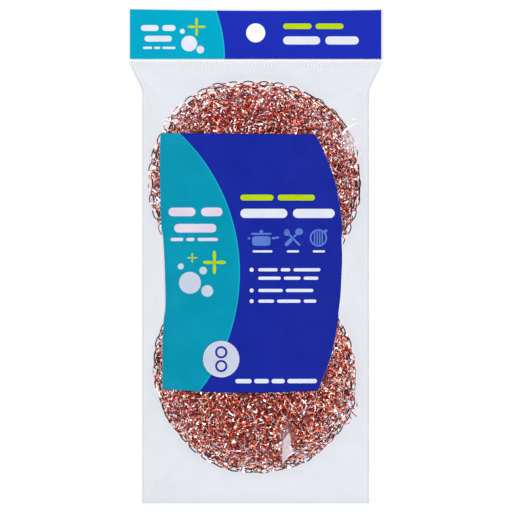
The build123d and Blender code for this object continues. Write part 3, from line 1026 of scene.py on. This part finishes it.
pads = {
    "upper": {
        "seed": 5,
        "wall": -97.1,  # where it meets the other scrubber, and on which side of that it lies
        "side": 1,
        "shift": 0.6,
        "inset": 2.5,
        # painted shade: the deeper colour is centred here and fades over the reach
        "middle": 0.0,  # where across the deeper colour is, and the radii that it fades over
        "reach": (18, 34),
        "bright": 0.98,
        # painted dark reflection: level of the specks' noise under which the wire is dark
        "darkReflectionBelow": 0.44,
        "flatRim": (0.62, 0.38, 0.75),  # angle and reach of a stretch with lower loops, and their height
        # how far the outline stands beyond an even rim, by direction
        "outline": (
            (0, -0.8), (10, -0.7), (20, -0.2), (30, 0.2), (40, 0.2), (50, -0.5), (60, -1.0), (75, -1.4),
            (90, -1.9), (100, -1.2), (110, 0.1), (120, 0.8), (133, 1.4), (142, 1.1), (152, 0.5), (180, 0.3),
            (200, -0.1), (240, 0.0), (300, -0.3), (330, -0.9), (345, -1.0),
        ),
        # rows of open loops: depth of the tops, place across, stagger, height, spread, wire,
        # share of dark tops
        "rows": (
            (0.0, 0.0, 0.0, 2.4, 0.85, 0.46, 0.7),
            (0.7, -0.6, 0.5, 1.7, 0.30, 0.50, 0.1),
            (1.3, 0.9, 0.5, 2.2, 0.60, 0.42, 0.2),
            (1.9, -2.2, 0.02, 0.9, 0.45, 0.56, 0.75),
            (2.5, -1.4, 0.30, 2.4, 0.40, 0.42, 0.1),
            (3.0, 1.8, 0.75, 2.6, 0.40, 0.42, 0.1),
            (3.3, -2.7, 0.55, 1.0, 0.20, 0.50, 0.5),
        ),
        # strands that run along the rim: finish, wire, distance from the centre, first and last angle
        "strands": (
            ("shade", 0.60, 41.8, 62, 31), ("rim", 0.50, 41.3, 66, 22), ("shade", 0.56, 40.3, 58, 35),
            ("rim", 0.50, 40.8, 61, 14), ("rim", 0.46, 39.8, 66, 26), ("shade", 0.50, 40.9, 29, 12),
            ("shade", 0.52, 41.8, 11, -9), ("rim", 0.46, 41.2, 16, -12), ("shade", 0.50, 40.2, 6, -14),
        ),
        "strays": (),
    },
    "lower": {
        "seed": 8,
        "wall": -97.7,
        "side": -1,
        "shift": 2.4,
        "inset": 2.1,
        "middle": 4.0,
        "reach": (6, 20),
        # painted light: the lower scrubber's wire colours much brighter, as if lit more
        "bright": 1.62,
        "darkReflectionBelow": 0.425,
        "flatRim": (0.0, 1.0, 1.0),
        "outline": (
            (0, -0.9), (10, -1.5), (30, -1.6), (60, -0.8), (120, 0.0), (160, 0.5), (170, 0.3), (180, -0.2),
            (190, -0.8), (200, -1.0), (230, -1.1), (242, -0.8), (255, -0.3), (270, -0.6), (282, -0.7),
            (300, 0.1), (330, 0.1), (342, 0.4), (350, -0.7),
        ),
        "rows": (
            (0.0, -0.5, 0.0, 1.3, 1.05, 0.52, 0.6),
            (0.3, 0.4, 0.5, 1.3, 0.50, 0.48, 0.1),
            (0.9, 0.0, 0.3, 1.8, 0.50, 0.42, 0.2),
            (1.3, -0.9, 0.1, 1.6, 0.85, 0.42, 0.2),
            (1.7, -2.0, 0.05, 0.8, 0.60, 0.54, 0.6),
            (2.3, -1.6, 0.30, 1.8, 0.60, 0.40, 0.1),
            (2.9, 1.8, 0.75, 1.8, 0.60, 0.40, 0.1),
            (3.2, -2.6, 0.55, 0.9, 0.40, 0.52, 0.45),
        ),
        "strands": (
            ("shade", 0.56, 40.2, 196, 211), ("rim", 0.46, 39.7, 190, 222), ("rim", 0.46, 40.0, 338, 324),
            ("rim", 0.44, 39.6, 16, -4),
        ),
        "strays": (
            ("rim", 0.50, ((36.2, -141.0), (38.2, -143.6), (39.5, -146.3), (38.7, -147.9), (37.3, -147.0))),
            ("rim", 0.54, ((36.6, -147.6), (37.6, -149.2), (39.5, -150.9))),
            ("rim", 0.46, ((36.0, -150.2), (37.6, -152.2), (36.6, -153.6), (35.2, -154.0))),
        ),
    },
}
for place, pad in pads.items():
    pad["centre"], pad["rim"] = bag["padPlaces"][place]


def perStitch(random, stitches, perLoop):
    # one random value for each stitch, blended from stitch to stitch round the course
    values = random.uniform(-1, 1, stitches)
    blend = np.linspace(0, 1, perLoop, endpoint=False)
    return (values[:, None] * (1 - blend) + np.roll(values, -1)[:, None] * blend).ravel()


def sweepWire(line, outward, twist, width, thickness):
    # closed wire with a flat section that lies in the shell and twists along the way
    ahead = np.roll(line, -1, axis=0) - np.roll(line, 1, axis=0)
    ahead /= np.linalg.norm(ahead, axis=1, keepdims=True) + 1e-9
    flatWay = np.cross(outward, ahead)
    flatWay /= np.linalg.norm(flatWay, axis=1, keepdims=True) + 1e-9
    upWay = np.cross(ahead, flatWay)
    cosine, sine = np.cos(twist)[:, None], np.sin(twist)[:, None]
    wide = (flatWay * cosine + upWay * sine) * width / 2
    thick = (upWay * cosine - flatWay * sine) * thickness / 2
    corners = (line + wide + thick, line - wide + thick, line - wide - thick, line + wide - thick)
    section = np.stack(corners, axis=1).reshape(-1, 3)
    return section, gridFaces(len(line), 4, wrapColumns=True, wrapRows=True)


def shellCourses(pad, inset, halfThick, random):
    # one closed row of loops for each course, from the front centre over the rim to the back
    perLoop = knit["pointsPerStitch"]
    radius = pad["rim"] - pad["inset"] - inset
    start = math.asin(knit["neck"] / radius)
    angles = np.linspace(start, math.pi - start, 1600)
    shellR, shellY = radius * np.sin(angles), -halfThick * np.cos(angles)
    arc = np.concatenate([[0], np.cumsum(np.hypot(np.diff(shellR), np.diff(shellY)))])
    count = int(arc[-1] / knit["courseStep"])
    spin, courses = 0.0, []
    for middle in (np.arange(count) + 0.5) * arc[-1] / count:
        around = float(np.interp(middle, arc, shellR))
        width = knit["neckWidth"] + (knit["rimWidth"] - knit["neckWidth"]) * (around / pad["rim"]) ** 2
        stitches = max(int(round(2 * math.pi * around / width)), 6)
        turn = np.linspace(0, 2 * math.pi * stitches, stitches * perLoop, endpoint=False)
        vary = [perStitch(random, stitches, perLoop) for _ in range(4)]
        height = knit["loopHeight"] * (1 + knit["loopVary"] * vary[0])
        theta = np.interp(middle + height * np.cos(turn) + knit["courseVary"] * vary[1], arc, angles)
        r, y = radius * np.sin(theta), -halfThick * np.cos(theta)
        spin += random.uniform(0, 1)
        lean = knit["overhang"] * (1 + knit["leanVary"] * vary[2])
        phase = lean * np.sin(2 * turn) + knit["phaseVary"] * vary[3]
        phi = spin + (turn + 2 * math.pi * phase) / stitches
        outR, outY = r / radius ** 2, y / halfThick ** 2
        size = np.hypot(outR, outY)
        outward = np.stack([outR / size * np.cos(phi), outY / size, outR / size * np.sin(phi)], axis=-1)
        sink = 1 - knit["dimple"] / halfThick * np.exp(-((r / knit["dimpleRadius"]) ** 2))
        line = np.stack([r * np.cos(phi), y * sink, r * np.sin(phi)], axis=-1)
        courses.append((line + outward * (knit["weave"] * np.cos(2 * turn))[:, None], outward))
    return courses


def crumple(points, outward, waves):
    # wavering of the wires, coarse and fine, and of the whole shell
    coarse, fine = (np.stack([wave(points) for wave in three], axis=-1) for three in (waves[0:3], waves[3:6]))
    shift = (knit["coarse"] * coarse + knit["fine"] * fine) * (1.0, 0.45, 1.0)
    return points + shift + outward * (knit["shell"] * waves[6](points))[..., None]


def rimCourses(pad, random):
    # open loops that stand out round the rim, in staggered rows
    stitches, perLoop = knit["rimStitches"], knit["pointsPerStitch"] + rimLoops["morePoints"]
    turn = np.linspace(0, 2 * math.pi * stitches, stitches * perLoop, endpoint=False)
    starts = random.uniform(0, 2 * math.pi, 3)
    wander = sum(np.sin(turns * (turn / stitches) + start)
                 for turns, start in zip(rimLoops["wanderTurns"], starts)) / 2
    flatAngle, flatReach, flatHeight = pad["flatRim"]
    courses = []
    for depth, y, stagger, tall, spread, wire, darkShare in pad["rows"]:
        vary = [perStitch(random, stitches, perLoop) for _ in range(5)]
        turned = np.angle(np.exp(1j * (turn / stitches - flatAngle)))
        flat = 1 - (1 - flatHeight) * np.exp(-((turned / flatReach) ** 4))
        half = tall / 2 * (1 + rimLoops["heightVary"] * vary[0]) * flat
        wide = spread * (1 + rimLoops["spreadVary"] * vary[1]) * np.sin(turn)
        wide = wide + rimLoops["neckBend"] * np.sin(2 * turn)
        phi = (turn + wide + 2 * math.pi * (stagger + rimLoops["placeVary"] * vary[2])) / stitches
        r = pad["rim"] - depth - half + half * np.cos(turn) + rimLoops["reachVary"] * vary[3]
        r = r + rimLoops["wander"] * wander
        sway = y + rimLoops["swayVary"] * vary[4] + rimLoops["sway"] * np.cos(2 * turn)
        line = np.stack([r * np.cos(phi), sway, r * np.sin(phi)], axis=-1)
        dark = np.repeat(random.random(stitches) < darkShare, perLoop)
        onTop = np.cos(turn + rimLoops["topLean"] + rimLoops["topVary"] * vary[2]) > rimLoops["topAbove"]
        finish = np.where(np.roll(dark, -perLoop // 2) & onTop, "shade", "rim")
        courses.append((line, np.broadcast_to([0.0, 1.0, 0.0], line.shape), wire, finish))
    return courses


def settle(points, pad):
    # draws the shell out to the outline, moves it to its place, squeezes it against the other
    # scrubber and under the film
    x, z = points[..., 0], points[..., 2]
    angles, beyond = zip(*pad["outline"])
    beyond = np.interp(np.degrees(np.arctan2(z, x)), angles, beyond, period=360)
    grown = 1 + beyond / pad["rim"] * (np.hypot(x, z) / pad["rim"]) ** 2
    placed = points * np.stack([grown, np.ones_like(grown), grown], axis=-1) + (0.0, 0.0, pad["centre"])
    depth = (pad["centre"] - placed[..., 2]) * pad["side"]
    wall = abs(pad["wall"] - pad["centre"])
    start = wall - knit["squeeze"]
    over = np.clip(depth - start, 0, None)
    pressed = np.where(depth > start, start + knit["squeeze"] * (1 - np.exp(-over / knit["squeeze"])), depth)
    placed[..., 2] = pad["centre"] - pressed * pad["side"]
    # enough room left for its shift from side to side
    room = filmBulge(np.abs(placed[..., 0]) + pad["shift"], placed[..., 2]) - knit["filmRoom"]
    front, back = (np.clip(side, knit["leastHalf"], None) for side in (room, room - knit["backRoom"]))
    placed[..., 1] = np.clip(placed[..., 1], -front, back)
    return placed


def looseWires(pad):
    # wire at the rim that isn't in a loop: strands along it, and open ends drawn by a few points
    paths = []
    for finish, wire, reach, first, last in pad["strands"]:
        phi = np.radians(np.linspace(first, last, 70))
        sway = np.sin(looseWire["swayTurns"] * phi + looseWire["swayStart"] * reach)
        r = reach + looseWire["sway"] * sway
        paths.append((finish, wire, r * np.cos(phi), r * np.sin(phi)))
    for finish, wire, points in pad["strays"]:
        x, z = smoothPath(points, 16)
        paths.append((finish, wire, x, z - pad["centre"]))
    ends = []
    for finish, wire, x, z in paths:
        # there and back again, so that the wire closes like the others
        line = np.stack([x, np.full_like(x, looseWire["place"]), z], axis=-1)
        line = np.concatenate([line, line[::-1] + (0.0, looseWire["away"], 0.0)])
        ends.append((line, np.broadcast_to([0.0, 1.0, 0.0], line.shape), wire, np.full(len(line), finish)))
    return ends


def buildPad(place):
    pad = pads[place]
    # painted light: lit copies of the wire colours, scaled by each scrubber's brightness
    lit = {tone: shaded(copperLook[tone], pad["bright"]) for tone in ("bright", "deep", "dark")}
    bodyLook = dict(copperLook, darkBelow=pad["darkReflectionBelow"], **lit)
    finishes = {
        "body": copperFinish(f"{place} copper wire", bodyLook, (pad["middle"], pad["centre"]), pad["reach"]),
        "inner": copperFinish(f"{place} inner copper wire", innerLook),
        "rim": copperFinish(f"{place} rim wire", rimLook),
        "shade": copperFinish(f"{place} shaded wire", shadeLook),
    }
    finishOrder = list(finishes)
    for index, (name, inset, halfThick, node) in enumerate(padLayers):
        random = np.random.default_rng(pad["seed"] * 100 + index)
        waves = [makeWaves(random, length) for length in knit["waves"]]
        if name == "rim_loops":
            courses = rimCourses(pad, random) + looseWires(pad)
        else:
            finish = "inner" if index else "body"
            courses = [(crumple(line, outward, waves), outward, knit["width"], np.full(len(line), finish))
                       for line, outward in shellCourses(pad, inset, halfThick, random)]
        fineTwist, broadTwist = (makeWaves(random, length) for length in knit["twistWaves"])
        kept = knit["rimTwist"] if name == "rim_loops" else 1
        wires, faceFinish = [], []
        for line, outward, wire, finish in courses:
            twist = (fineTwist(line) + knit["broadTwist"] * broadTwist(line)) * kept
            wires.append(sweepWire(settle(line, pad), outward, twist, wire, knit["thickness"]))
            faceFinish.append(np.repeat([finishOrder.index(kind) for kind in finish], 4))
        mesh = makeMesh(f"{place}_{name}", *joinGrids(wires), finishes.values(), np.concatenate(faceFinish),
                        smooth=False)
        stoodFor = [f"{place}_{node}"] if node else []
        piece = addPiece(mesh, f"{place}_scrubber", "copper_mesh", *stoodFor)
        print(piece.name, len(mesh.polygons) * 2, "triangles")


for place in pads:
    buildPad(place)


# Ties: twisted wire through each gathered centre
tie = {
    "strand": 0.42,
    "twistRadius": 0.5,
    "turns": 9,
    "curlRadius": 1.5,
    "headHeight": 9.6,
    "endTurn": 4.2,  # how far an end curls round, in radians
    "endRise": 0.5,
}


def sweepTube(path, radius, sides=8):
    path = np.asarray(path)
    ahead = np.gradient(path, axis=0)
    ahead /= np.linalg.norm(ahead, axis=1, keepdims=True)
    upWay = np.cross(ahead, (0.31, 0.17, 0.93))
    upWay /= np.linalg.norm(upWay, axis=1, keepdims=True)
    sideWay = np.cross(ahead, upWay)
    turn = np.linspace(0, 2 * math.pi, sides, endpoint=False)
    cosine, sine = np.cos(turn)[None, :, None], np.sin(turn)[None, :, None]
    section = upWay[:, None] * cosine + sideWay[:, None] * sine
    return (path[:, None] + radius * section).reshape(-1, 3), gridFaces(len(path), sides, wrapColumns=True)


def buildTie(place):
    pad = pads[place]
    tubes = []
    for strand in (0, 1):
        share = np.linspace(-1, 1, 220)
        angle = strand * math.pi + tie["turns"] * math.pi * share
        through = np.stack([
            tie["twistRadius"] * np.cos(angle),
            tie["headHeight"] * share,
            pad["centre"] + tie["twistRadius"] * np.sin(angle),
        ], axis=1)
        # the ends curl flat in the dimple
        curl = np.linspace(0, 1, 60)[1:]
        for end in (-1, 1):
            startPoint = through[-1] if end > 0 else through[0]
            bend = strand * math.pi + curl * tie["endTurn"]
            reach = tie["twistRadius"] + (tie["curlRadius"] - tie["twistRadius"]) * curl
            tail = np.stack([
                startPoint[0] + reach * np.cos(bend) - tie["twistRadius"] * math.cos(strand * math.pi),
                startPoint[1] + end * tie["endRise"] * np.sin(curl * math.pi / 2),
                startPoint[2] + reach * np.sin(bend) - tie["twistRadius"] * math.sin(strand * math.pi),
            ], axis=1)
            through = np.concatenate([through, tail]) if end > 0 else np.concatenate([tail[::-1], through])
        tubes.append(sweepTube(through, tie["strand"] / 2))
    mesh = makeMesh(f"{place}_tie_twist", *joinGrids(tubes), [tieFinish])
    addPiece(mesh, f"{place}_scrubber", "tie_metal", f"{place}_tie_wire")


tieFinish = copperFinish("tie wire", dict(copperLook, rough=(0.2, 0.3)))
for place in pads:
    buildTie(place)
print("ties built")


# Floor, backdrop light, lamps and camera
studio = {
    "floorHeight": -0.215,
    "floorReach": 30.0,
    "floorColour": (0.84, 0.84, 0.85, 1.0),
    "fadeStart": 0.20,
    "fadeEnd": 0.38,
    "soften": 0.30,  # world level for the light on the object
    "cameraDistance": 2.2,
    "sight": (0.00012, -0.0879),
    "frameWidth": 0.2017,
    "lampAim": (0, 0, -0.09),
}


def buildFloor():
    reach, height = studio["floorReach"] / mm, studio["floorHeight"] / mm
    side = np.linspace(-reach, reach, 9)
    x, y = np.meshgrid(side, side, indexing="ij")
    finish = newFinish("pale floor")
    paler = shaded(studio["floorColour"], 1.02)
    finish.feed(finish.shader, {
        "Base Color": finish.mix(finish.uneven(30, 2, 0, 1), studio["floorColour"], paler),
        "Roughness": 0.9,
        "Specular IOR Level": 0.1,
    })
    near, far = (math.hypot(studio[edge], studio["floorHeight"]) for edge in ("fadeStart", "fadeEnd"))
    fade = finish.ramp(finish.vector("LENGTH", finish.place), near, far, 0, 1)
    white = finish.add("Emission", {"Color": (1, 1, 1, 1)})
    finish.surface(finish.math("MULTIPLY", fade, finish.seen()), finish.shader, white)
    points = np.stack([x, y, np.full_like(x, height)], axis=-1)
    mesh = makeMesh("studio_floor", points, gridFaces(len(side), len(side)), [finish.owner])
    addObject("studio_floor", mesh)


def buildWorld():
    scene.world = bpy.data.worlds.new("studio")
    work = NodeWork(scene.world, "OutputWorld")
    light, backdrop = (work.add("Background", {"Color": (1, 1, 1, 1), "Strength": strength})
                       for strength in (studio["soften"], 1.0))
    work.surface(work.seen(), light, backdrop)


lamps = (
    # name, place, size, watts
    ("upper left lamp", (-0.75, -1.15, 0.55), 0.70, 5.2),
    ("upper right lamp", (0.85, -1.15, 0.40), 0.70, 4.6),
    ("lower left lamp", (-0.95, -1.05, -0.15), 0.70, 5.2),
    ("lower right lamp", (0.60, -1.25, -0.12), 0.50, 4.4),
    ("back left lamp", (0.80, 1.10, 0.60), 0.60, 6.0),
    ("back right lamp", (-0.80, 1.15, 0.45), 0.60, 5.6),
)


def aimAt(thing, target):
    way = Vector(target) - thing.location
    thing.rotation_mode = "QUATERNION"
    thing.rotation_quaternion = way.to_track_quat("-Z", "Y")


def buildLamps():
    for name, place, size, watts in lamps:
        data = bpy.data.lights.new(name, "AREA")
        data.shape = "SQUARE"
        data.size = size
        data.energy = watts
        lamp = addObject(name, data)
        lamp.location = place
        aimAt(lamp, studio["lampAim"])


def buildCamera():
    data = bpy.data.cameras.new("camera")
    data.sensor_width = 36.0
    data.lens = data.sensor_width * studio["cameraDistance"] / studio["frameWidth"]
    data.clip_start, data.clip_end = 0.05, 100
    camera = addObject("camera", data)
    across, height = studio["sight"]
    camera.location = (across, -studio["cameraDistance"], height)
    aimAt(camera, (across, 0, height))
    scene.camera = camera


buildFloor()
buildWorld()
buildLamps()
buildCamera()
scene.view_settings.view_transform = "Standard"
print("studio built")
